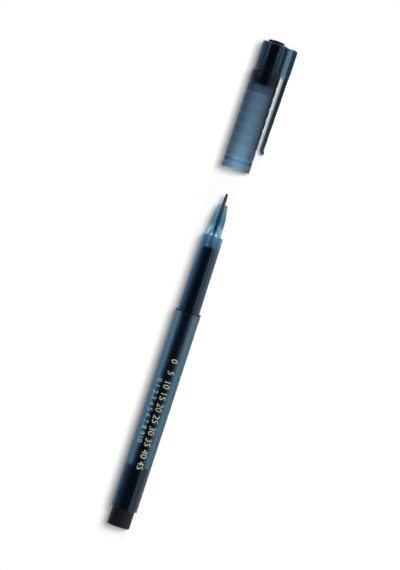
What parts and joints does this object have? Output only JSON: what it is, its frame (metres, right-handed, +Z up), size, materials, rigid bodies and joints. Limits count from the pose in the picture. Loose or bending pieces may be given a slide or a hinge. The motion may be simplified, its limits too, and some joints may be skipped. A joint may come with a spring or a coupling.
{
  "type": "felt-tip pen",
  "caption": "Slim felt-tip pen with a clear tinted barrel, metal-sleeved nib and fluted end plug, its ribbed clip cap pulled off in line.",
  "frame": {"origin": "on the surface that the pen lies on, under the middle of the pen and its cap", "axes": "+Y along the pen towards the nib and the cap, +Z up, +X on the side that the clip is turned to"},
  "size_m": [0.0154, 0.2104, 0.0121],
  "materials": {
    "tinted_barrel": "clear smoke-blue moulded plastic",
    "pale_nose": "clear pale teal moulded plastic",
    "nib_fibre": "ink-soaked pressed fibre",
    "sleeve_metal": "drawn steel tube",
    "inked_fibre": "ink-soaked fibre",
    "reservoir_film": "dark plastic film",
    "black_plug": "satin black moulded plastic",
    "tinted_cap": "clear smoke-blue moulded plastic",
    "tinted_clip": "clear smoke-blue moulded plastic",
    "black_insert": "satin black moulded plastic"
  },
  "bodies": {
    "barrel": {"barrel": "tinted_barrel", "nose": "pale_nose", "nib": "nib_fibre", "nib_sleeve": "sleeve_metal", "ink_reservoir": "inked_fibre", "reservoir_film": "reservoir_film", "end_plug": "black_plug"},
    "cap": {"cap_shell": "tinted_cap", "cap_insert": "black_insert"},
    "clip": {"clip_arm": "tinted_clip"}
  },
  "joints": [
    {"name": "cap_slide", "type": "slide", "parent": "barrel", "child": "cap", "axis": [0, 1, 0], "range_m": [-0.0611, 0]},
    {"name": "clip_flex", "type": "hinge", "parent": "cap", "child": "clip", "pos_m": [0.00597, 0.09127, 0.00241], "axis": [0.4305, 0, 0.9026], "range_deg": [0, 4], "stiffness_Nm_per_rad": 0.3}
  ]
}
